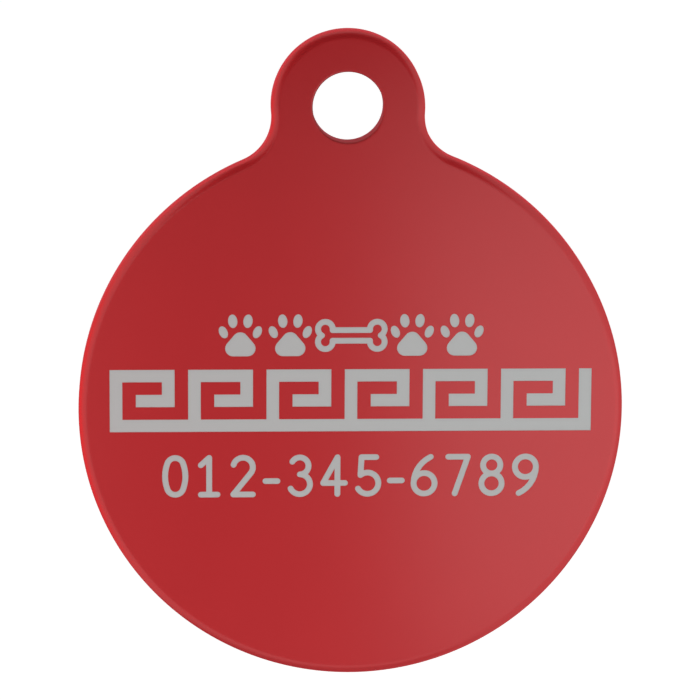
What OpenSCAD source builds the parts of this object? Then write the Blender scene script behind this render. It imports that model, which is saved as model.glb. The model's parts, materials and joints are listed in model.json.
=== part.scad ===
// Round pet id tag: one blank punched from sheet metal, with a small ear for the ring.
// Millimetres. It hangs upright: X is the width, +Z is up and the front face looks towards -Y.
// The origin is the centre of the ring hole, at half the thickness of the sheet.
//
// The outline is one smooth line of arcs: the disc, a hollow neck on each side, and the ear.
// Punching draws the front edge down in a soft roll all along that line, also round the hollow
// necks, so every arc carries the same rim section about its own centre.

/* [Disc] */
// Diameter of the disc
disc_d = 31.75; // [25:0.25:40]
// Thickness of the sheet
sheet_t = 1.5; // [1.2:0.1:2.5]

/* [Ear and ring hole] */
// Width of the ear, which is round
ear_d = 8.9; // [8.4:0.1:11]
// How far the ear stands above the top of the disc
ear_rise = 6.35; // [5:0.05:8]
// Diameter of the ring hole
hole_d = 4.1; // [3:0.1:4.5]
// Radius of the hollow curve between the ear and the disc
neck_r = 2.7; // [1.5:0.1:5]

/* [Rolled edges] */
// How far the soft roll of the front edge reaches in from the outline
roll_w = 0.5; // [0.4:0.05:0.7]
// Radius of the soft roll
roll_r = 0.9; // [0.8:0.05:1.6]
// Radius of the corner between the roll and the side wall
corner_r = 0.1; // [0.05:0.01:0.2]
// Radius of the back edge
back_r = 0.15; // [0.1:0.05:0.3]
// Radius of the front and back edges of the ring hole
hole_edge_r = 0.1; // [0.05:0.01:0.3]

/* [Hidden] */
$fn = 96;

// Level of the front and back faces
front_z = sheet_t / 2;
back_z = -front_z;
// How far a window reaches past the curve that it trims
over = sheet_t;
// The necks are hollowed out this much more than tangent, so their surfaces cross the disc's
// and the ear's at a clean angle instead of just touching them
seam = 0.04;

disc_r = disc_d / 2;
ear_r = ear_d / 2;
hole_r = hole_d / 2;
// The disc's centre lies straight below the ring hole, which is the ear's centre
disc_drop = disc_r + ear_rise - ear_r;

// Each neck's centre is one neck radius outside both the disc and the ear
disc_to_neck = disc_r + neck_r;
ear_to_neck = ear_r + neck_r;
neck_drop = (disc_drop ^ 2 + ear_to_neck ^ 2 - disc_to_neck ^ 2) / (2 * disc_drop);
neck_x = sqrt(ear_to_neck ^ 2 - neck_drop ^ 2);
neck_centre = [neck_x, -neck_drop];
disc_centre = [0, -disc_drop];

// Directions from the right neck's centre to the ear's centre and to the disc's centre
to_ear = atan2(neck_drop, -neck_x);
to_disc = atan2(neck_drop - disc_drop, -neck_x) + 360;

// The roll is a wide arc that leaves the front face level, and a corner arc that is tangent
// to it and to the side wall
corner_drop = roll_r - sqrt((roll_r - corner_r) ^ 2 - (roll_w - corner_r) ^ 2);
roll_centre = [-roll_w, front_z - roll_r];
corner_centre = [-corner_r, front_z - corner_drop];
// Direction from both arc centres to the point where the arcs touch
touch = (corner_centre - roll_centre) / (roll_r - corner_r);

// Behind its roll or rounding, each ring has a level stretch that laps into its neighbours
lap = back_r;
rim_w = roll_w + lap;
collar_w = hole_edge_r + lap;

// A quarter of a disc that fills a rounded corner; side tells which way the corner lies
module quarter(centre, radius, side) {
    translate(centre)
        intersection() {
            circle(radius);
            translate([min(side.x, 0) * over, min(side.y, 0) * over])
                square(over);
        }
}

// Section of the rim: the outline is at x = 0, and the metal lies on its -x side, depth wide
module rim_section(depth) {
    polygon([
        [-depth, back_z],
        [-back_r, back_z],
        [-back_r, back_z + back_r],
        [0, back_z + back_r],
        [0, corner_centre.y],
        [-roll_w, corner_centre.y],
        [-roll_w, front_z],
        [-depth, front_z]
    ]);
    quarter([-back_r, back_z + back_r], back_r, [1, -1]);
    intersection() {
        translate(roll_centre)
            circle(roll_r);
        polygon([
            [-roll_w, corner_centre.y],
            corner_centre,
            corner_centre + over * touch,
            [-roll_w, front_z + over]
        ]);
    }
    intersection() {
        translate(corner_centre)
            circle(corner_r);
        polygon([
            corner_centre,
            corner_centre + [over, 0],
            corner_centre + [over, over],
            corner_centre + over * touch
        ]);
    }
}

// Section of the collar round the hole, with a small round on both edges
module collar_section() {
    polygon([
        [hole_r + collar_w, back_z],
        [hole_r + collar_w, front_z],
        [hole_r + hole_edge_r, front_z],
        [hole_r + hole_edge_r, front_z - hole_edge_r],
        [hole_r, front_z - hole_edge_r],
        [hole_r, back_z + hole_edge_r],
        [hole_r + hole_edge_r, back_z + hole_edge_r],
        [hole_r + hole_edge_r, back_z]
    ]);
    for (side = [-1, 1])
        quarter([hole_r + hole_edge_r, side * (front_z - hole_edge_r)], hole_edge_r, [-1, side]);
}

// A round plate with the rim section all the way round
module rimmed_plate(radius) {
    rotate_extrude()
        intersection() {
            translate([radius, 0])
                rim_section(radius + over);
            translate([0, back_z - over])
                square([radius + over, sheet_t + 2 * over]);
        }
}

// Right neck: the same rim turned inside out about the neck's centre
module neck_rim() {
    translate(neck_centre)
        rotate_extrude(start = to_ear, angle = to_disc - to_ear)
            translate([neck_r + seam, 0])
                mirror([1, 0])
                    rim_section(rim_w);
}

// Level metal between the two neck rims, from the ear's centre to the disc's
module throat() {
    translate([0, 0, back_z])
        linear_extrude(sheet_t)
            difference() {
                polygon([[0, 0], [-neck_x, -neck_drop], disc_centre, neck_centre]);
                for (side = [-1, 1])
                    translate([side * neck_x, -neck_drop])
                        circle(neck_r + roll_w + lap / 2);
            }
}

module tag_blank() {
    color([0.66, 0.15, 0.17])
        rotate([90, 0, 0]) {
            difference() {
                union() {
                    translate(disc_centre)
                        rimmed_plate(disc_r);
                    rimmed_plate(ear_r);
                    throat();
                    neck_rim();
                    mirror([1, 0, 0])
                        neck_rim();
                }
                cylinder(h = sheet_t + 2 * over, r = hole_r + hole_edge_r + lap / 2, center = true);
            }
            rotate_extrude()
                collar_section();
        }
}

tag_blank();
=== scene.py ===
import json
import math

import bmesh
import bpy
from bpy.props import FloatProperty, FloatVectorProperty, IntProperty, PointerProperty
from mathutils import Matrix, Vector


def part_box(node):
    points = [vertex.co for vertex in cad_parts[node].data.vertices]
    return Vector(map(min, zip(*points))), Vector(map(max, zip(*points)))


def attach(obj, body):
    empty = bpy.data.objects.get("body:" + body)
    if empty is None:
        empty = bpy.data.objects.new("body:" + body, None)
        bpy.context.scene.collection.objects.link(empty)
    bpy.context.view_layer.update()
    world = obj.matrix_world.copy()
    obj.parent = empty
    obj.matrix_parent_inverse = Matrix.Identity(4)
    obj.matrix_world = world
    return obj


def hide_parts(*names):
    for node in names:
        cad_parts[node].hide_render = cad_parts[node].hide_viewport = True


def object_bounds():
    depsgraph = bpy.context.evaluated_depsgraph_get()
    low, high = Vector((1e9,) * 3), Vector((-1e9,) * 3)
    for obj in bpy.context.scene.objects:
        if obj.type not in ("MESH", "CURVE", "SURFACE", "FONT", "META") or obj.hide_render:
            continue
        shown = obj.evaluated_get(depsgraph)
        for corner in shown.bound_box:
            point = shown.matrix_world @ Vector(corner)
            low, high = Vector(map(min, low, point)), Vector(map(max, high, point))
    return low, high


bl_info = {
    "name": "Round pet id tag",
    "version": (1, 0, 0),
    "blender": (4, 5, 0),
    "location": "View3D > Sidebar > Pet Tag",
    "description": "A round anodised pet tag with an ear, a rolled front edge and three etched rows",
    "category": "Object",
}

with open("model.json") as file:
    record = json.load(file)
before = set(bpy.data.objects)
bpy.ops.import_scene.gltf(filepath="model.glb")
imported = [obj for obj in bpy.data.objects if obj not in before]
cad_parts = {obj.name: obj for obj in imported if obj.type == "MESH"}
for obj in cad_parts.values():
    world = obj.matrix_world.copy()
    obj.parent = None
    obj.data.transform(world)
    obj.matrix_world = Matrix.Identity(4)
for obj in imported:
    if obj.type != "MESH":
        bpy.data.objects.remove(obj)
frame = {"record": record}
cad_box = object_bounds()

MM = 0.001
BLANK = "tag_blank"
BODY = "root"
TAG = "tag_body"
# Two points closer than this are one point, in a piece as drawn and in one that was cut
WELD = 1e-7
WELD_CUT = 2e-6
# Edges that turn more than this are shown sharp
CREASE = math.radians(30)
QUARTER = math.pi / 2
# Steps along the stretches of the outline and round the ring hole
EAR_STEPS = 48
NECK_STEPS = 36
DISC_STEPS = 120
HOLE_STEPS = 96
# Steps across the rounds of the two sections
ROLL_STEPS = 10
CORNER_STEPS = 6
HOLE_EDGE_STEPS = 8
# Steps round the marks: a line's round end, a blob's corner, a ring, an oval, and the most degrees
# and the fewest steps of an arc
END_STEPS = 8
BLOB_STEPS = 10
RING_STEPS = 40
OVAL_STEPS = 28
BEND_DEGREES = 9
BEND_STEPS = 6

LOW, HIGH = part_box(BLANK)
HOLE = next(m for m in frame["record"]["mounts"] if m["name"] == "ring_hole")


class TagSizes(bpy.types.PropertyGroup):
    """Sizes of the blank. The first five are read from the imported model"""

    disc_radius: FloatProperty(
        name="Disc radius", description="Radius of the round disc",
        default=HIGH.x, unit="LENGTH", subtype="DISTANCE", precision=5)
    ear_radius: FloatProperty(
        name="Ear radius", description="Radius of the round ear, about the ring hole's centre",
        default=HIGH.z, unit="LENGTH", subtype="DISTANCE", precision=5)
    disc_drop: FloatProperty(
        name="Disc drop", description="How far the disc's centre lies below the ring hole's",
        default=-LOW.z - HIGH.x, unit="LENGTH", subtype="DISTANCE", precision=5)
    thickness: FloatProperty(
        name="Thickness", description="Thickness of the sheet",
        default=HIGH.y - LOW.y, unit="LENGTH", subtype="DISTANCE", precision=5)
    hole_radius: FloatProperty(
        name="Hole radius", description="Radius of the ring hole",
        default=HOLE["dims"]["r_mm"] * MM, unit="LENGTH", subtype="DISTANCE", precision=5)
    neck_radius: FloatProperty(
        name="Neck radius", description="Radius of the hollow curve between the ear and the disc",
        default=2.7 * MM, unit="LENGTH", subtype="DISTANCE", precision=5)
    roll_width: FloatProperty(
        name="Roll width", description="How far the soft roll of the front edge reaches in",
        default=0.5 * MM, unit="LENGTH", subtype="DISTANCE", precision=5)
    roll_radius: FloatProperty(
        name="Roll radius", description="Radius of the soft roll",
        default=0.9 * MM, unit="LENGTH", subtype="DISTANCE", precision=5)
    corner_radius: FloatProperty(
        name="Corner radius", description="Radius of the corner between the roll and the side wall",
        default=0.1 * MM, unit="LENGTH", subtype="DISTANCE", precision=5)
    back_radius: FloatProperty(
        name="Back edge radius", description="Radius of the back edge",
        default=0.15 * MM, unit="LENGTH", subtype="DISTANCE", precision=5)
    hole_edge: FloatProperty(
        name="Hole edge radius", description="Radius of the two edges of the ring hole",
        default=0.1 * MM, unit="LENGTH", subtype="DISTANCE", precision=5)
    margin: FloatProperty(
        name="Level margin", description="Width of the level strip kept beside each rounded edge",
        default=0.06 * MM, unit="LENGTH", subtype="DISTANCE", precision=5)


class MarkSizes(bpy.types.PropertyGroup):
    """Sizes and places of the three etched rows, on the front face"""

    depth: FloatProperty(
        name="Etch depth", description="How deep the marks are cut into the face",
        default=0.02 * MM, unit="LENGTH", subtype="DISTANCE", precision=6)
    pen: FloatProperty(
        name="Pen width", description="Width of a thin drawn line",
        default=0.35 * MM, unit="LENGTH", subtype="DISTANCE", precision=5)
    turn: FloatProperty(
        name="Turn of the rows", description="How far the rows are turned on the face",
        default=math.radians(-0.8), unit="ROTATION", subtype="ANGLE")
    paw_height: FloatProperty(
        name="Paw height", description="Height of one paw print",
        default=2.6 * MM, unit="LENGTH", subtype="DISTANCE", precision=5)
    paw_gap: FloatProperty(
        name="Paw spacing", description="Distance between the middles of two paw prints",
        default=2.9 * MM, unit="LENGTH", subtype="DISTANCE", precision=5)
    bone_length: FloatProperty(
        name="Bone length", description="Length of the bone between the paw prints",
        default=4.2 * MM, unit="LENGTH", subtype="DISTANCE", precision=5)
    paw_row: FloatProperty(
        name="Paw row", description="Height of the paw row, measured from the ring hole's centre",
        default=-13.35 * MM, unit="LENGTH", subtype="DISTANCE", precision=5)
    band_width: FloatProperty(
        name="Key band width", description="Width of the key pattern band",
        default=28.1 * MM, unit="LENGTH", subtype="DISTANCE", precision=5)
    band_height: FloatProperty(
        name="Key band height", description="Height of the key pattern band",
        default=3.7 * MM, unit="LENGTH", subtype="DISTANCE", precision=5)
    band_stroke: FloatProperty(
        name="Key band stroke", description="Width of the key pattern's bars",
        default=0.74 * MM, unit="LENGTH", subtype="DISTANCE", precision=5)
    band_row: FloatProperty(
        name="Key band row", description="Height of the key band, measured from the ring hole's centre",
        default=-17.2 * MM, unit="LENGTH", subtype="DISTANCE", precision=5)
    band_hooks: IntProperty(
        name="Hooks", description="How many square hooks the key band has", default=6, min=2)
    digit_height: FloatProperty(
        name="Digit height", description="Height of a digit, with its line's width",
        default=2.55 * MM, unit="LENGTH", subtype="DISTANCE", precision=5)
    digit_pitch: FloatProperty(
        name="Digit pitch", description="Distance between the middles of two digits",
        default=1.98 * MM, unit="LENGTH", subtype="DISTANCE", precision=5)
    dash_pitch: FloatProperty(
        name="Dash pitch", description="Room that a dash takes between two digits",
        default=1.34 * MM, unit="LENGTH", subtype="DISTANCE", precision=5)
    digit_row: FloatProperty(
        name="Digit row", description="Height of the digit row, measured from the ring hole's centre",
        default=-21.7 * MM, unit="LENGTH", subtype="DISTANCE", precision=5)


class TagColours(bpy.types.PropertyGroup):
    """Colours of the dyed face, the bare metal and the studio"""

    dye: FloatVectorProperty(
        name="Dye", description="Red of the dyed metal",
        default=(0.52, 0.0215, 0.026), size=3, min=0, max=1, subtype="COLOR")
    dye_deep: FloatVectorProperty(
        name="Deep dye", description="Red where the dye is a little thicker",
        default=(0.50, 0.0205, 0.025), size=3, min=0, max=1, subtype="COLOR")
    bare: FloatVectorProperty(
        name="Bare metal", description="Grey of the etched metal",
        default=(0.575, 0.605, 0.6), size=3, min=0, max=1, subtype="COLOR")
    floor: FloatVectorProperty(
        name="Floor", description="Colour of the studio floor",
        default=(0.8, 0.8, 0.8), size=3, min=0, max=1, subtype="COLOR")


class StudioSettings(bpy.types.PropertyGroup):
    """Where the camera stands and how the tag is lit"""

    distance: FloatProperty(
        name="Camera distance", description="From the camera to the middle of the tag",
        default=0.25, unit="LENGTH", subtype="DISTANCE")
    azimuth: FloatProperty(
        name="Camera azimuth", description="How far the camera stands round to the side",
        default=math.radians(-2.489), unit="ROTATION", subtype="ANGLE")
    elevation: FloatProperty(
        name="Camera elevation", description="How far the camera stands above the face's level",
        default=math.radians(11.133), unit="ROTATION", subtype="ANGLE")
    roll: FloatProperty(
        name="Camera roll", description="How far the camera is turned about its own line of sight",
        default=math.radians(-0.509), unit="ROTATION", subtype="ANGLE")
    lens: FloatProperty(
        name="Lens", description="Focal length of the camera, in millimetres",
        default=220.4, min=1)
    aim: FloatVectorProperty(
        name="Aim", description="Point that the camera looks at",
        default=(0, 0, -14.358 * MM), size=3, unit="LENGTH", subtype="TRANSLATION", precision=5)
    lamp_distance: FloatProperty(
        name="Lamp distance", description="From the tag to the overhead lamp",
        default=0.6, unit="LENGTH", subtype="DISTANCE")
    lamp_size: FloatProperty(
        name="Lamp size", description="Width of the overhead lamp",
        default=0.3, unit="LENGTH", subtype="DISTANCE")
    lamp_power: FloatProperty(
        name="Lamp power", description="Power of the overhead lamp, in watts",
        default=1.0, min=0)
    lamp_azimuth: FloatProperty(
        name="Lamp azimuth", description="How far the overhead lamp stands round to the side",
        default=math.radians(-20), unit="ROTATION", subtype="ANGLE")
    lamp_elevation: FloatProperty(
        name="Lamp elevation", description="How far the overhead lamp stands above the tag's level",
        default=math.radians(70), unit="ROTATION", subtype="ANGLE")
    soft_level: FloatProperty(
        name="Soft light", description="How bright the world is for soft light, where it is seen as 1",
        default=0.6, min=0)
    floor_size: FloatProperty(
        name="Floor size", description="From the floor's middle to its edges",
        default=6.0, unit="LENGTH", subtype="DISTANCE")
    floor_drop: FloatProperty(
        name="Floor drop", description="How far the floor lies below the tag",
        default=0.25, unit="LENGTH", subtype="DISTANCE")
    floor_glow: FloatProperty(
        name="Floor glow", description="What the floor adds to its own light where it is seen",
        default=0.54, min=0)


def material(name):
    """A new material, with its node tree and its Principled shader"""
    made = bpy.data.materials.new(name)
    made.use_nodes = True
    tree = made.node_tree
    return made, tree, tree.nodes["Principled BSDF"]


def node(tree, kind, **settings):
    """A node of that kind. A setting named after one of its sockets goes to the socket"""
    made = tree.nodes.new(kind)
    for key, value in settings.items():
        title = key.replace("_", " ").title()
        if title in made.inputs:
            made.inputs[title].default_value = value
        else:
            setattr(made, key, value)
    return made


def dyed_metal(colours, sizes):
    """Satin anodised aluminium: dyed metal under a clear sealed skin, with painted shade that darkens
    the ring hole's wall
    """
    made, tree, shader = material("dyed_metal")
    place = node(tree, "ShaderNodeTexCoord")
    shader.inputs["Metallic"].default_value = 1.0
    shader.inputs["Coat Weight"].default_value = 0.09
    shader.inputs["Coat Roughness"].default_value = 0.21
    shader.inputs["Coat IOR"].default_value = 4.0
    shader.inputs["Specular Tint"].default_value = (1.0, 0.03, 0.26, 1.0)

    cloud = node(tree, "ShaderNodeTexNoise", scale=260.0, detail=3.0, roughness=0.55)
    tint = node(tree, "ShaderNodeMix", data_type="RGBA")
    tint.inputs["A"].default_value = (*colours.dye_deep, 1.0)
    tint.inputs["B"].default_value = (*colours.dye, 1.0)
    tree.links.new(place.outputs["Object"], cloud.inputs["Vector"])
    tree.links.new(cloud.outputs["Fac"], tint.inputs["Factor"])

    flat = node(tree, "ShaderNodeVectorMath", operation="MULTIPLY")
    flat.inputs[1].default_value = (1, 0, 1)
    apart = node(tree, "ShaderNodeVectorMath", operation="LENGTH")
    # Painted shade: the colour is halved on the ring hole's wall and comes back to full across the
    # hole's rounded edges
    hole_shade = node(
        tree, "ShaderNodeMapRange", from_min=sizes.hole_radius,
        from_max=sizes.hole_radius + sizes.hole_edge, to_min=0.5, to_max=1.0)
    shade = node(tree, "ShaderNodeVectorMath", operation="SCALE")
    tree.links.new(place.outputs["Object"], flat.inputs[0])
    tree.links.new(flat.outputs["Vector"], apart.inputs[0])
    tree.links.new(apart.outputs["Value"], hole_shade.inputs["Value"])
    tree.links.new(tint.outputs["Result"], shade.inputs[0])
    tree.links.new(hole_shade.outputs["Result"], shade.inputs["Scale"])
    tree.links.new(shade.outputs["Vector"], shader.inputs["Base Color"])

    grain = node(tree, "ShaderNodeTexNoise", scale=9000.0, detail=2.0, roughness=0.6)
    gloss = node(tree, "ShaderNodeMapRange", to_min=0.54, to_max=0.58)
    tree.links.new(place.outputs["Object"], grain.inputs["Vector"])
    tree.links.new(grain.outputs["Fac"], gloss.inputs["Value"])
    tree.links.new(gloss.outputs["Result"], shader.inputs["Roughness"])

    pits = node(tree, "ShaderNodeBump", strength=0.12, distance=0.00001)
    tree.links.new(grain.outputs["Fac"], pits.inputs["Height"])
    tree.links.new(pits.outputs["Normal"], shader.inputs["Normal"])
    return made


def bare_metal(colours):
    """Aluminium where the dye was burnt off: dull, pale grey and slightly frosted"""
    made, tree, shader = material("bare_metal")
    place = node(tree, "ShaderNodeTexCoord")
    shader.inputs["Metallic"].default_value = 0.6
    frost = node(tree, "ShaderNodeTexNoise", scale=6000.0, detail=3.0, roughness=0.6)
    tint = node(tree, "ShaderNodeMix", data_type="RGBA")
    tint.inputs["A"].default_value = (*[0.93 * c for c in colours.bare], 1.0)
    tint.inputs["B"].default_value = (*colours.bare, 1.0)
    gloss = node(tree, "ShaderNodeMapRange", to_min=0.62, to_max=0.78)
    pits = node(tree, "ShaderNodeBump", strength=0.25, distance=0.00001)
    tree.links.new(place.outputs["Object"], frost.inputs["Vector"])
    tree.links.new(frost.outputs["Fac"], tint.inputs["Factor"])
    tree.links.new(tint.outputs["Result"], shader.inputs["Base Color"])
    tree.links.new(frost.outputs["Fac"], gloss.inputs["Value"])
    tree.links.new(gloss.outputs["Result"], shader.inputs["Roughness"])
    tree.links.new(frost.outputs["Fac"], pits.inputs["Height"])
    tree.links.new(pits.outputs["Normal"], shader.inputs["Normal"])
    return made


def add_object(name, bm, *materials):
    """The bmesh as a new object of the scene, at the origin"""
    mesh = bpy.data.meshes.new(name)
    bm.to_mesh(mesh)
    bm.free()
    for each in materials:
        mesh.materials.append(each)
    made = bpy.data.objects.new(name, mesh)
    bpy.context.scene.collection.objects.link(made)
    return made


def only(kind, geometry):
    """Those of the geometry that are vertices, edges or faces"""
    return [g for g in geometry if isinstance(g, kind)]


def walk(bm, corner, step):
    """Draws a straight edge on from a vertex, and gives the vertex at its end"""
    made = bmesh.ops.extrude_vert_indiv(bm, verts=[corner])["verts"]
    bmesh.ops.translate(bm, vec=step, verts=made)
    return made[0]


def swing(bm, corner, centre, axis, angle, steps):
    """Draws an arc on from a vertex, and gives the vertex at its end"""
    made = bmesh.ops.spin(bm, geom=[corner], cent=centre, axis=axis, angle=angle, steps=steps)
    return only(bmesh.types.BMVert, made["geom_last"])[0]


def sweep(bm, section, centre, angle, steps):
    """Carries a section round an upright axis of the face, clockwise as the front shows it"""
    made = bmesh.ops.spin(
        bm, geom=section, cent=centre, axis=(0, 1, 0), angle=angle, steps=steps)
    return made["geom_last"]


def rim_section(bm, sizes):
    """The rim's section at the top of the ear: front strip, soft roll, corner, wall and back edge"""
    front = -sizes.thickness / 2
    rolled = sizes.roll_radius - sizes.corner_radius
    slope = math.asin((sizes.roll_width - sizes.corner_radius) / rolled)
    top = sizes.ear_radius
    roll_centre = Vector((0, front + sizes.roll_radius, top - sizes.roll_width))
    corner_centre = roll_centre + rolled * Vector((0, -math.cos(slope), math.sin(slope)))
    back_centre = Vector((0, -front - sizes.back_radius, top - sizes.back_radius))
    about_x = (-1, 0, 0)

    start = bm.verts.new((0, front, roll_centre.z - sizes.margin))
    here = walk(bm, start, (0, 0, sizes.margin))
    here = swing(bm, here, roll_centre, about_x, slope, ROLL_STEPS)
    here = swing(bm, here, corner_centre, about_x, QUARTER - slope, CORNER_STEPS)
    here = walk(bm, here, (0, back_centre.y - corner_centre.y, 0))
    here = swing(bm, here, back_centre, about_x, QUARTER, CORNER_STEPS)
    walk(bm, here, (0, 0, -sizes.margin))
    return bm.verts[:] + bm.edges[:]


def hole_section(bm, sizes):
    """The ring hole's section above its centre: front strip, rounded edge, wall and back edge"""
    front = -sizes.thickness / 2
    edge = sizes.hole_edge
    level = sizes.hole_radius + edge
    about_x = (1, 0, 0)

    start = bm.verts.new((0, front, level + sizes.margin))
    here = walk(bm, start, (0, 0, -sizes.margin))
    here = swing(bm, here, (0, front + edge, level), about_x, QUARTER, HOLE_EDGE_STEPS)
    here = walk(bm, here, (0, sizes.thickness - 2 * edge, 0))
    here = swing(bm, here, (0, -front - edge, level), about_x, QUARTER, HOLE_EDGE_STEPS)
    walk(bm, here, (0, 0, sizes.margin))
    loose = [e for e in bm.edges if not e.link_faces]
    ends = dict.fromkeys(v for e in loose for v in e.verts)
    return [*ends, *loose]


def fill_between(bm, level):
    """Fills the level face between the rim and the ring hole"""
    loops = [
        e for e in bm.edges
        if e.is_boundary and all(abs(v.co.y - level) < WELD for v in e.verts)]
    bmesh.ops.triangle_fill(bm, use_beauty=True, edges=loops)


def shade_smooth(target):
    """Smooth shading, with the edges that turn more than the crease kept sharp"""
    mesh = target.data
    mesh.polygons.foreach_set("use_smooth", [True] * len(mesh.polygons))
    mesh.set_sharp_from_angle(angle=CREASE)


class TAG_OT_body(bpy.types.Operator):
    """Shape the blank: its rim carried round the ear, the necks and the disc, and both faces filled"""

    bl_idname = "tag.body"
    bl_label = "Tag body"

    def execute(self, context):
        sizes = context.scene.tag_sizes
        neck_reach = sizes.ear_radius + sizes.neck_radius
        disc_reach = sizes.disc_radius + sizes.neck_radius
        neck_drop = (sizes.disc_drop**2 + neck_reach**2 - disc_reach**2) / (2 * sizes.disc_drop)
        neck_x = math.sqrt(neck_reach**2 - neck_drop**2)
        below_level = math.atan2(neck_drop, neck_x)
        beside_upright = math.atan2(neck_x, sizes.disc_drop - neck_drop)
        neck_centre = (neck_x, 0, -neck_drop)
        disc_centre = (0, 0, -sizes.disc_drop)
        ear_turn = QUARTER + below_level

        bm = bmesh.new()
        section = rim_section(bm, sizes)
        section = sweep(bm, section, (0, 0, 0), ear_turn, EAR_STEPS)
        section = sweep(bm, section, neck_centre, beside_upright - ear_turn, NECK_STEPS)
        sweep(bm, section, disc_centre, math.pi - beside_upright, DISC_STEPS)
        bmesh.ops.mirror(bm, geom=bm.verts[:] + bm.edges[:] + bm.faces[:], axis="X", merge_dist=WELD)
        bmesh.ops.remove_doubles(bm, verts=bm.verts[:], dist=WELD)

        bmesh.ops.spin(
            bm, geom=hole_section(bm, sizes), cent=(0, 0, 0), axis=(0, 1, 0),
            angle=2 * math.pi, steps=HOLE_STEPS, use_merge=True)
        bmesh.ops.remove_doubles(bm, verts=bm.verts[:], dist=WELD)
        fill_between(bm, -sizes.thickness / 2)
        fill_between(bm, sizes.thickness / 2)
        bmesh.ops.recalc_face_normals(bm, faces=bm.faces[:])
        if any(not e.is_manifold for e in bm.edges):
            raise RuntimeError("the tag body isn't closed")

        tag = add_object(TAG, bm, dyed_metal(context.scene.tag_colours, sizes))
        shade_smooth(tag)
        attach(tag, BODY)
        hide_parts(BLANK)
        return {"FINISHED"}


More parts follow.
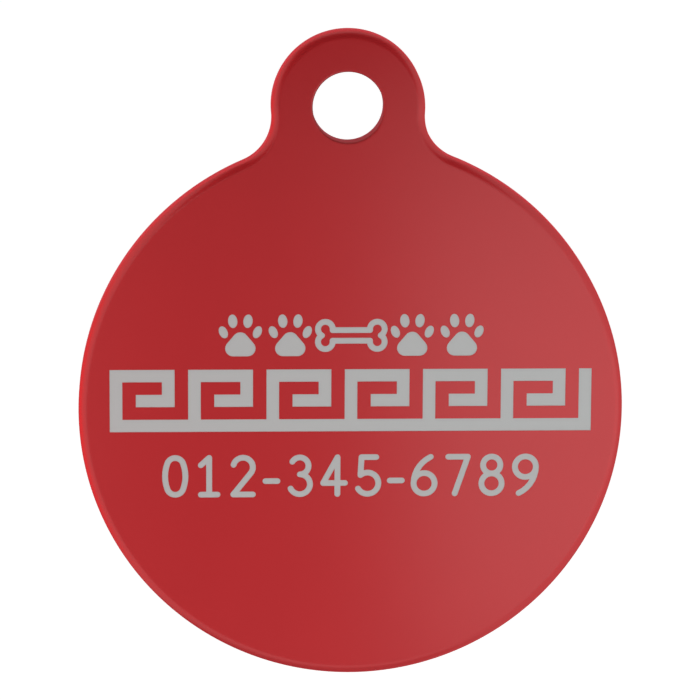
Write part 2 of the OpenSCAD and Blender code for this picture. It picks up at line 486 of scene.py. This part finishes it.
class Pen:
    """Draws marks as flat sheets on the plane y = 0 and thickens each into a solid of its own"""

    def __init__(self, width, reach):
        self.half = width / 2
        self.reach = reach
        self.drawn = bmesh.new()
        self.origin = Vector()
        self.scale = 1.0

    def place(self, x, z, scale=1.0):
        """Moves the pen's origin, and sets how long its unit is"""
        self.origin = Vector((x, 0, z))
        self.scale = scale

    def at(self, x, z):
        """A point of the drawing, from the pen's origin and in its unit"""
        return self.origin + self.scale * Vector((x, 0, z))

    def nib(self, bm, tip, across):
        """Two edges across the line, which meet at its middle"""
        ends = [bm.verts.new(tip + side * self.half * across) for side in (-1, 1)]
        middle = bm.verts.new(tip)
        edges = [bm.edges.new((ends[0], middle)), bm.edges.new((middle, ends[1]))]
        return [ends[0], middle, ends[1], *edges]

    def round_end(self, bm, tip, outer, turn):
        """A half disc at the end of a line, from one side of the nib to the other"""
        rim, middle = bm.verts.new(outer), bm.verts.new(tip)
        spoke = bm.edges.new((rim, middle))
        bmesh.ops.spin(
            bm, geom=[rim, middle, spoke], cent=tip, axis=(0, 1, 0),
            angle=turn * math.pi, steps=END_STEPS)

    def keep(self, bm):
        """Thickens a finished sheet through the face and adds it to the drawing"""
        bmesh.ops.remove_doubles(bm, verts=bm.verts[:], dist=WELD)
        made = bmesh.ops.extrude_face_region(bm, geom=bm.faces[:])
        raised = only(bmesh.types.BMVert, made["geom"])
        bmesh.ops.translate(bm, vec=(0, 2 * self.reach, 0), verts=raised)
        bmesh.ops.translate(bm, vec=(0, -self.reach, 0), verts=bm.verts[:])
        bmesh.ops.recalc_face_normals(bm, faces=bm.faces[:])
        sheet = bpy.data.meshes.new("stroke")
        bm.to_mesh(sheet)
        bm.free()
        self.drawn.from_mesh(sheet)
        bpy.data.meshes.remove(sheet)

    def bar(self, start, end):
        """A straight line with round ends"""
        start, end = self.at(*start), self.at(*end)
        along = (end - start).normalized()
        across = Vector((along.z, 0, -along.x))
        bm = bmesh.new()
        nib = self.nib(bm, start, across)
        made = bmesh.ops.extrude_edge_only(bm, edges=only(bmesh.types.BMEdge, nib))
        bmesh.ops.translate(bm, vec=end - start, verts=only(bmesh.types.BMVert, made["geom"]))
        self.round_end(bm, start, start + self.half * across, 1)
        self.round_end(bm, end, end + self.half * across, -1)
        self.keep(bm)

    def bend(self, centre, radius, start, end):
        """An arc with round ends between two directions, in degrees anticlockwise from the right"""
        centre = self.at(*centre)
        radius *= self.scale
        bm = bmesh.new()
        clockwise = 1 if end < start else -1
        tips = []
        for angle in (start, end):
            across = Vector((math.cos(math.radians(angle)), 0, math.sin(math.radians(angle))))
            tips.append((centre + radius * across, across))
        nib = self.nib(bm, *tips[0])
        steps = max(BEND_STEPS, round(abs(end - start) / BEND_DEGREES))
        sweep(bm, nib, centre, math.radians(start - end), steps)
        for (tip, across), turn in zip(tips, (-clockwise, clockwise)):
            self.round_end(bm, tip, tip + self.half * across, turn)
        self.keep(bm)

    def ring(self, centre, radius):
        """A full circle"""
        centre = self.at(*centre)
        bm = bmesh.new()
        nib = self.nib(bm, centre + Vector((radius * self.scale, 0, 0)), Vector((1, 0, 0)))
        bmesh.ops.spin(
            bm, geom=nib, cent=centre, axis=(0, 1, 0), angle=2 * math.pi, steps=RING_STEPS,
            use_merge=True)
        self.keep(bm)

    def spot(self, centre, width, height, tilt):
        """A filled oval, tilted clockwise by so many degrees"""
        bm = bmesh.new()
        turned = Matrix.Rotation(math.radians(tilt), 4, "Y")
        flat = Matrix.Rotation(QUARTER, 4, "X")
        size = Matrix.Diagonal((width * self.scale / 2, 1, height * self.scale / 2, 1))
        bmesh.ops.create_circle(
            bm, cap_ends=True, segments=OVAL_STEPS, radius=1,
            matrix=Matrix.Translation(self.at(*centre)) @ turned @ size @ flat)
        self.keep(bm)

    def blob(self, corners, radius):
        """A filled shape with round corners, which come anticlockwise as the front shows them"""
        corners = [self.at(*corner) for corner in corners]
        radius *= self.scale
        sides = [
            (after - corner).normalized()
            for corner, after in zip(corners, corners[1:] + corners[:1])]
        outward = [Vector((side.z, 0, -side.x)) for side in sides]
        bm = bmesh.new()
        here = bm.verts.new(corners[0] + radius * outward[-1])
        for count, corner in enumerate(corners):
            angle = outward[count - 1].angle(outward[count])
            here = swing(bm, here, corner, (0, -1, 0), angle, BLOB_STEPS)
            here = walk(bm, here, corners[(count + 1) % len(corners)] - corner)
        bmesh.ops.remove_doubles(bm, verts=bm.verts[:], dist=WELD)
        bmesh.ops.contextual_create(bm, geom=bm.edges[:])
        self.keep(bm)

    def block(self, low, high):
        """A filled rectangle"""
        low, high = self.at(*low), self.at(*high)
        size = high - low
        bm = bmesh.new()
        flat = Matrix.Rotation(QUARTER, 4, "X")
        bmesh.ops.create_grid(
            bm, x_segments=1, y_segments=1, size=0.5,
            matrix=Matrix.Translation((low + high) / 2)
            @ Matrix.Diagonal((size.x, 1, size.z, 1)) @ flat)
        self.keep(bm)


def apply_boolean(target, other, operation, use_self=False):
    """Cuts the target with the other object, or crosses the two, in the target's own mesh"""
    cut = target.modifiers.new("boolean", "BOOLEAN")
    cut.solver = "EXACT"
    cut.operation = operation
    cut.object = other
    cut.use_self = use_self
    solved = target.evaluated_get(bpy.context.evaluated_depsgraph_get())
    mesh = bpy.data.meshes.new_from_object(solved)
    target.modifiers.remove(cut)
    old, target.data = target.data, mesh
    name = old.name
    bpy.data.meshes.remove(old)
    mesh.name = name
    put_in_order(mesh)
    weld(mesh)


def put_in_order(mesh):
    """Lists the points by place and the faces by their points, since a cut gives them in an order
    that changes from run to run"""
    places = [v.co[:] for v in mesh.vertices]
    order = sorted(range(len(places)), key=places.__getitem__)
    rank = {old: new for new, old in enumerate(order)}
    faces = []
    for polygon in mesh.polygons:
        corners = [rank[k] for k in polygon.vertices]
        lowest = corners.index(min(corners))
        faces.append(corners[lowest:] + corners[:lowest])
    mesh.clear_geometry()
    mesh.from_pydata([places[k] for k in order], [], sorted(faces))


def weld(mesh):
    """Merges the points that a cut left close together, where that keeps the mesh closed.
    Faces of more than four sides are split first, so that none is lost"""
    bm = bmesh.new()
    bm.from_mesh(mesh)
    bmesh.ops.triangulate(bm, faces=[f for f in bm.faces if len(f.verts) > 4])
    bmesh.ops.remove_doubles(bm, verts=bm.verts[:], dist=WELD_CUT)
    bmesh.ops.dissolve_degenerate(bm, dist=WELD, edges=bm.edges[:])
    if all(e.is_manifold for e in bm.edges):
        bm.to_mesh(mesh)
    bm.free()


def slab(name, near, far):
    """A wide level plate between two depths of the front face"""
    bm = bmesh.new()
    wide = 2 * (HIGH.x - LOW.x)
    tall = 2 * (HIGH.z - LOW.z)
    bmesh.ops.create_cube(
        bm, size=1,
        matrix=Matrix.Translation((0, (near + far) / 2, (LOW.z + HIGH.z) / 2))
        @ Matrix.Diagonal((wide, far - near, tall, 1)))
    return add_object(name, bm)


def etch(context, name, pen):
    """Cuts a drawing into the front face and lays its bare floor, as a piece of that name"""
    sizes, marks = context.scene.tag_sizes, context.scene.mark_sizes
    front = -sizes.thickness / 2
    middle = Vector((0, front, marks.band_row))
    turn = (
        Matrix.Translation(middle)
        @ Matrix.Rotation(-marks.turn, 4, "Y")
        @ Matrix.Translation((0, 0, -marks.band_row)))
    bmesh.ops.transform(pen.drawn, matrix=turn, verts=pen.drawn.verts[:])
    tag = bpy.data.objects[TAG]
    floor = add_object(name, pen.drawn)
    pocket = bpy.data.objects.new("pocket", floor.data.copy())
    context.scene.collection.objects.link(pocket)
    above = slab("above", front - pen.reach / 2, front + 2 * marks.depth)
    within = slab("within", front + marks.depth, front + 2 * marks.depth)
    apply_boolean(pocket, above, "INTERSECT", use_self=True)
    apply_boolean(floor, within, "INTERSECT", use_self=True)
    apply_boolean(tag, pocket, "DIFFERENCE")
    for spare in (pocket, above, within):
        mesh = spare.data
        bpy.data.objects.remove(spare)
        bpy.data.meshes.remove(mesh)
    floor.data.materials.clear()
    floor.data.materials.append(
        bpy.data.materials.get("bare_metal") or bare_metal(context.scene.tag_colours))
    shade_smooth(floor)
    shade_smooth(tag)
    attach(floor, BODY)


# A paw print, in shares of its height from its middle: the place, width, height and outward tilt,
# in degrees, of the two toes on a side, and the pad's corners and their radius
TOE_SHARES = ((0.17, 0.33, 0.21, 0.31, 6), (0.38, 0.08, 0.19, 0.29, 24))
PAD_SHARES = ((-0.16, -0.29), (0.16, -0.29), (0.0, -0.1))
PAD_ROUND_SHARE = 0.18


def draw_paw(pen):
    """A paw print: four toes and a pad"""
    for x, z, width, height, tilt in TOE_SHARES:
        for side in (-1, 1):
            pen.spot((side * x, z), width, height, side * tilt)
    pen.blob(PAD_SHARES, PAD_ROUND_SHARE)


# A bone, in shares of its length: half the distance between its knobs along and across it,
# their radius, and half the width of its shaft
KNOB_SHARES = (0.36, 0.09)
KNOB_ROUND_SHARE = 0.102
SHAFT_SHARE = 0.075


def draw_bone(pen):
    """The outline of a bone: two lines along the shaft and a round knob at each corner"""
    x, z = KNOB_SHARES
    inner = math.asin((z - SHAFT_SHARE) / KNOB_ROUND_SHARE)
    outer = math.degrees(math.asin(z / KNOB_ROUND_SHARE))
    shaft = x - KNOB_ROUND_SHARE * math.cos(inner)
    start = 180 + math.degrees(inner)
    for side in (-1, 1):
        pen.bar((-shaft, side * SHAFT_SHARE), (shaft, side * SHAFT_SHARE))
    pen.bend((x, z), KNOB_ROUND_SHARE, start, -outer)
    pen.bend((x, -z), KNOB_ROUND_SHARE, -start, outer)
    pen.bend((-x, z), KNOB_ROUND_SHARE, 180 - start, 180 + outer)
    pen.bend((-x, -z), KNOB_ROUND_SHARE, start - 180, -180 - outer)


class TAG_OT_paw_row(bpy.types.Operator):
    """Etch the upper row: paw prints on both sides of a bone"""

    bl_idname = "tag.paw_row"
    bl_label = "Paw row"

    def execute(self, context):
        marks = context.scene.mark_sizes
        pen = Pen(marks.pen, marks.pen)
        pen.place(0, marks.paw_row, marks.bone_length)
        draw_bone(pen)
        first = (marks.bone_length + marks.paw_gap) / 2
        for side in (-1, 1):
            for reach in (first, first + marks.paw_gap):
                x = side * reach
                pen.place(x, marks.paw_row, marks.paw_height)
                draw_paw(pen)
        etch(context, "etched_paws", pen)
        return {"FINISHED"}


# Cells of the key band's grid that one hook takes, with the gap after it
HOOK_CELLS = 3


class TAG_OT_key_band(bpy.types.Operator):
    """Etch the middle row: a band of square hooks, a plain key pattern"""

    bl_idname = "tag.key_band"
    bl_label = "Key band"

    def execute(self, context):
        marks = context.scene.mark_sizes
        half = marks.band_stroke / 2
        end = HOOK_CELLS * marks.band_hooks
        step = (marks.band_width - marks.band_stroke) / end
        rise = (marks.band_height - marks.band_stroke) / 2

        def run(pen, start, stop):
            """A bar of the pattern between two points of its grid"""
            low = [min(a, b) for a, b in zip(start, stop)]
            high = [max(a, b) for a, b in zip(start, stop)]
            pen.block(
                (low[0] * step - half, low[1] * rise - half),
                (high[0] * step + half, high[1] * rise + half))

        pen = Pen(marks.pen, marks.pen)
        pen.place(-end * step / 2, marks.band_row - rise)
        run(pen, (0, 0), (end, 0))
        for hook in range(marks.band_hooks):
            x = HOOK_CELLS * hook
            run(pen, (x, 0), (x, 2))
            run(pen, (x, 2), (x + 2, 2))
            run(pen, (x + 2, 2), (x + 2, 1))
            run(pen, (x + 2, 1), (x + 1, 1))
        run(pen, (end, 0), (end, 2))
        etch(context, "etched_key_band", pen)
        return {"FINISHED"}


# Digits, in shares of the height of their middle lines, from the middle of their foot. Radii of
# the upper and lower bowls, of the five's and of the rings of the six and nine, half the width of
# the two and the seven, and half the width of the slim ends of the zero and the one
UPPER_SHARE = 0.23
LOWER_SHARE = 0.27
FIVE_SHARE = 0.29
SIX_SHARE = 0.28
TURN_SHARE = 0.26
SLIM_SHARE = 0.22
# Where the one's flag starts, the four's corner, foot and bar, the top of the five, how far the
# seven leans, and the radius of the long curve of the six
ONE_FLAG = 0.8
FOUR_STEM = 0.1
FOUR_CORNER = (-0.28, 0.3)
FOUR_BAR = 0.3
FIVE_TOP = (-0.16, 0.23)
SEVEN_FOOT = -0.08
SIX_CURVE = 0.8
# Directions, in degrees, in which the open strokes of the two, the three and the five end
TWO_START = 165
THREE_ENDS = (150, -155)
FIVE_ENDS = (130, -150)
# A dash's half length and height, and the digits that one stands before
DASH_SHARES = (0.16, 0.36)
DASH_BEFORE = (3, 6)


def draw_zero(pen):
    """Four arcs: two wide ones for the sides and two small ones for the ends"""
    end, half = SLIM_SHARE, LOWER_SHARE
    side = (half**2 + 0.25 - end) / (2 * (half - end))
    lean = math.degrees(math.atan2(0.5 - end, side - half))
    for sign in (-1, 1):
        pen.bend((-sign * (side - half), 0.5), side, 90 - sign * 90 - lean, 90 - sign * 90 + lean)
        pen.bend((0, 0.5 + sign * (0.5 - end)), end, sign * 90 - 90 + lean, sign * 90 + 90 - lean)


def draw_one(pen):
    pen.bar((-SLIM_SHARE, ONE_FLAG), (0, 1))
    pen.bar((0, 1), (0, 0))
    pen.bar((-SLIM_SHARE, 0), (SLIM_SHARE, 0))


def draw_two(pen):
    high = 1 - TURN_SHARE
    lean = 2 * math.atan2(TURN_SHARE, high)
    pen.bend((0, high), TURN_SHARE, TWO_START, -math.degrees(lean))
    pen.bar(
        (TURN_SHARE * math.cos(lean), high - TURN_SHARE * math.sin(lean)), (-TURN_SHARE, 0))
    pen.bar((-TURN_SHARE, 0), (TURN_SHARE, 0))


def draw_three(pen):
    start, end = THREE_ENDS
    pen.bend((0, 1 - UPPER_SHARE), UPPER_SHARE, start, -90)
    pen.bend((0, LOWER_SHARE), LOWER_SHARE, 90, end)


def draw_four(pen):
    pen.bar((FOUR_STEM, 1), FOUR_CORNER)
    pen.bar(FOUR_CORNER, (FOUR_BAR, FOUR_CORNER[1]))
    pen.bar((FOUR_STEM, 1), (FOUR_STEM, 0))


def draw_five(pen):
    start, end = FIVE_ENDS
    left, right = FIVE_TOP
    lean = math.radians(start)
    joint = (FIVE_SHARE * math.cos(lean), FIVE_SHARE + FIVE_SHARE * math.sin(lean))
    pen.bar((right, 1), (left, 1))
    pen.bar((left, 1), joint)
    pen.bend((0, FIVE_SHARE), FIVE_SHARE, start, end)


def draw_six(pen, side=1, base=0.0):
    """A ring with a long curve over it. A side of -1 and a base of 1 make it a nine"""
    ring = (0, base + side * SIX_SHARE)
    centre = (side * (SIX_CURVE - SIX_SHARE), ring[1])
    top = math.degrees(math.asin((1 - SIX_SHARE) / SIX_CURVE))
    start = 180 if side > 0 else 0
    pen.ring(ring, SIX_SHARE)
    pen.bend(centre, SIX_CURVE, start, start - top)


def draw_seven(pen):
    pen.bar((-TURN_SHARE, 1), (TURN_SHARE, 1))
    pen.bar((TURN_SHARE, 1), (SEVEN_FOOT, 0))


def draw_eight(pen):
    pen.ring((0, 1 - UPPER_SHARE), UPPER_SHARE)
    pen.ring((0, LOWER_SHARE), LOWER_SHARE)


def draw_nine(pen):
    draw_six(pen, -1, 1.0)


DIGITS = (
    draw_zero, draw_one, draw_two, draw_three, draw_four,
    draw_five, draw_six, draw_seven, draw_eight, draw_nine)


class TAG_OT_digit_row(bpy.types.Operator):
    """Etch the lower row: the ten digits in counting order, in groups of three, three and four"""

    bl_idname = "tag.digit_row"
    bl_label = "Digit row"

    def execute(self, context):
        marks = context.scene.mark_sizes
        height = marks.digit_height - marks.pen
        width = (len(DIGITS) - 1) * marks.digit_pitch + len(DASH_BEFORE) * marks.dash_pitch
        foot = marks.digit_row - height / 2
        dash_half, dash_rise = DASH_SHARES
        pen = Pen(marks.pen, marks.pen)
        x = -width / 2
        for count, draw in enumerate(DIGITS):
            if count in DASH_BEFORE:
                pen.place(x - (marks.digit_pitch - marks.dash_pitch) / 2, foot, height)
                pen.bar((-dash_half, dash_rise), (dash_half, dash_rise))
                x += marks.dash_pitch
            pen.place(x, foot, height)
            draw(pen)
            x += marks.digit_pitch
        etch(context, "etched_digits", pen)
        return {"FINISHED"}


def seen_straight(tree):
    """1 where the camera looks, a mirror shows or glass lets through, and 0 for soft light"""
    path = node(tree, "ShaderNodeLightPath")
    either = node(tree, "ShaderNodeMath", operation="MAXIMUM")
    any_of = node(tree, "ShaderNodeMath", operation="MAXIMUM")
    tree.links.new(path.outputs["Is Camera Ray"], either.inputs[0])
    tree.links.new(path.outputs["Is Glossy Ray"], either.inputs[1])
    tree.links.new(either.outputs["Value"], any_of.inputs[0])
    tree.links.new(path.outputs["Is Transmission Ray"], any_of.inputs[1])
    return any_of.outputs["Value"]


def studio_floor_material(colour, glow_level):
    """Pale floor that the camera sees white, and that still takes the tag's shadow"""
    made, tree, shader = material("studio_floor")
    shader.inputs["Base Color"].default_value = (*colour, 1.0)
    shader.inputs["Roughness"].default_value = 0.9
    shader.inputs["Specular IOR Level"].default_value = 0.0
    glow = node(tree, "ShaderNodeEmission", color=(*[glow_level] * 3, 1.0))
    tree.links.new(seen_straight(tree), glow.inputs["Strength"])
    both = node(tree, "ShaderNodeAddShader")
    tree.links.new(shader.outputs["BSDF"], both.inputs[0])
    tree.links.new(glow.outputs["Emission"], both.inputs[1])
    tree.links.new(both.outputs["Shader"], tree.nodes["Material Output"].inputs["Surface"])
    return made


# The studio's cards, which only reflections see: azimuth from straight in front towards the right
# and elevation, in degrees, distance, width and height, in millimetres, brightness, where the
# world has 1, and how much green and blue it gives beside its red, where 1 makes it white
CARDS = {
    "left_softbox": (-65, -12, 100, 65, 100, 2, 0.3),
    "left_back_softbox": (-115, 30, 100, 60, 80, 1.8, 0.5),
    "right_back_softbox": (105, 20, 100, 55, 55, 1.6, 0.8),
    "right_softbox": (20, -15, 120, 120, 40, 1.8, 1),
    "low_flag": (-40, -68, 100, 150, 50, 0.5, 1),
    "front_flag": (-4, -14, 95, 30, 60, 0.2, 1),
    "top_flag": (0, 35, 40, 45, 32, 0.03, 1),
}
CARD_AIM = Vector((0, 0, -12 * MM))


def direction(azimuth, elevation):
    """Where something stands from the tag: round to the right from straight in front, and up"""
    return Vector((
        math.sin(azimuth) * math.cos(elevation),
        -math.cos(azimuth) * math.cos(elevation),
        math.sin(elevation)))


def facing(azimuth, elevation, distance):
    """Where a card or lamp stands that faces the tag, as a matrix"""
    away = direction(azimuth, elevation)
    look = (-away).to_track_quat("-Z", "Y").to_matrix().to_4x4()
    return Matrix.Translation(CARD_AIM + distance * away) @ look


def card(name, azimuth, elevation, distance, width, height, level, tone):
    """A plain card that only reflections see: dark, bright or red"""
    stand = facing(math.radians(azimuth), math.radians(elevation), distance * MM)
    size = Matrix.Diagonal((width * MM, height * MM, 1, 1))
    bm = bmesh.new()
    bmesh.ops.create_grid(bm, x_segments=1, y_segments=1, size=0.5, matrix=stand @ size)
    made, tree, shader = material(name)
    shader.inputs["Base Color"].default_value = (0, 0, 0, 1)
    shader.inputs["Specular IOR Level"].default_value = 0.0
    shader.inputs["Emission Color"].default_value = (1, tone, tone, 1)
    shader.inputs["Emission Strength"].default_value = level
    made_card = add_object(name, bm, made)
    made_card.visible_camera = False
    made_card.visible_diffuse = False
    made_card.visible_shadow = False


def overhead_lamp(studio):
    """A soft lamp high above the tag, for the floor's shadow. Reflections don't see it"""
    light = bpy.data.lights.new("overhead_lamp", "AREA")
    light.shape = "RECTANGLE"
    light.size = light.size_y = studio.lamp_size
    light.energy = studio.lamp_power
    lamp = bpy.data.objects.new("overhead_lamp", light)
    bpy.context.scene.collection.objects.link(lamp)
    lamp.matrix_world = facing(
        studio.lamp_azimuth, studio.lamp_elevation, studio.lamp_distance)
    lamp.visible_glossy = False


def pale_floor(colour, studio):
    """The floor, some way below the tag"""
    low = cad_box[0][2]
    bm = bmesh.new()
    bmesh.ops.create_grid(
        bm, x_segments=1, y_segments=1, size=studio.floor_size,
        matrix=Matrix.Translation((0, 0, low - studio.floor_drop)))
    floor = add_object("floor", bm, studio_floor_material(colour, studio.floor_glow))


def white_world(studio):
    """A world that is white where it is seen, and a little duller for soft light"""
    world = bpy.data.worlds.new("studio")
    world.use_nodes = True
    bpy.context.scene.world = world
    tree = world.node_tree
    level = node(tree, "ShaderNodeMapRange", to_min=studio.soft_level, to_max=1.0)
    tree.links.new(seen_straight(tree), level.inputs["Value"])
    tree.links.new(level.outputs["Result"], tree.nodes["Background"].inputs["Strength"])
    tree.nodes["Background"].inputs["Color"].default_value = (1, 1, 1, 1)


def place_camera(studio):
    """The camera, at the photo's angle"""
    camera = bpy.data.cameras.new("camera")
    camera.lens = studio.lens
    camera.clip_start = 10 * MM
    eye = bpy.data.objects.new("camera", camera)
    bpy.context.scene.collection.objects.link(eye)
    back = direction(studio.azimuth, studio.elevation)
    right = Vector((math.cos(studio.azimuth), math.sin(studio.azimuth), 0))
    axes = Matrix((right, back.cross(right), back)).transposed().to_4x4()
    eye.matrix_world = (
        Matrix.Translation(Vector(studio.aim) + studio.distance * back)
        @ axes
        @ Matrix.Rotation(studio.roll, 4, "Z"))
    bpy.context.scene.camera = eye


class TAG_OT_stage(bpy.types.Operator):
    """Lay the pale floor and set the world, the cards, the lamp and the camera"""

    bl_idname = "tag.stage"
    bl_label = "Stage"

    def execute(self, context):
        scene = context.scene
        studio = scene.studio_settings
        pale_floor(scene.tag_colours.floor, studio)
        white_world(studio)
        for name, values in CARDS.items():
            card(name, *values)
        overhead_lamp(studio)
        place_camera(studio)
        scene.view_settings.view_transform = "Standard"
        return {"FINISHED"}


class TAG_PT_panel(bpy.types.Panel):
    """Lists the operators that make the tag and its stage, and all their settings"""

    bl_idname = "TAG_PT_panel"
    bl_label = "Pet Tag"
    bl_space_type = "VIEW_3D"
    bl_region_type = "UI"
    bl_category = "Pet Tag"

    def draw(self, context):
        for operator in OPERATORS:
            self.layout.operator(operator.bl_idname)
        for group in GROUPS:
            box = self.layout.box()
            settings = getattr(context.scene, group)
            for name in settings.__annotations__:
                box.prop(settings, name)


GROUPS = {
    "tag_sizes": TagSizes, "mark_sizes": MarkSizes,
    "tag_colours": TagColours, "studio_settings": StudioSettings}
OPERATORS = (TAG_OT_body, TAG_OT_paw_row, TAG_OT_key_band, TAG_OT_digit_row, TAG_OT_stage)


def register():
    for kind in (*GROUPS.values(), *OPERATORS, TAG_PT_panel):
        bpy.utils.register_class(kind)
    for name, group in GROUPS.items():
        setattr(bpy.types.Scene, name, PointerProperty(type=group))


def unregister():
    for name in GROUPS:
        delattr(bpy.types.Scene, name)
    for kind in reversed((*GROUPS.values(), *OPERATORS, TAG_PT_panel)):
        bpy.utils.unregister_class(kind)


def main():
    register()
    bpy.ops.tag.body()
    bpy.ops.tag.paw_row()
    bpy.ops.tag.key_band()
    bpy.ops.tag.digit_row()
    bpy.ops.tag.stage()


if __name__ == "__main__":
    main()
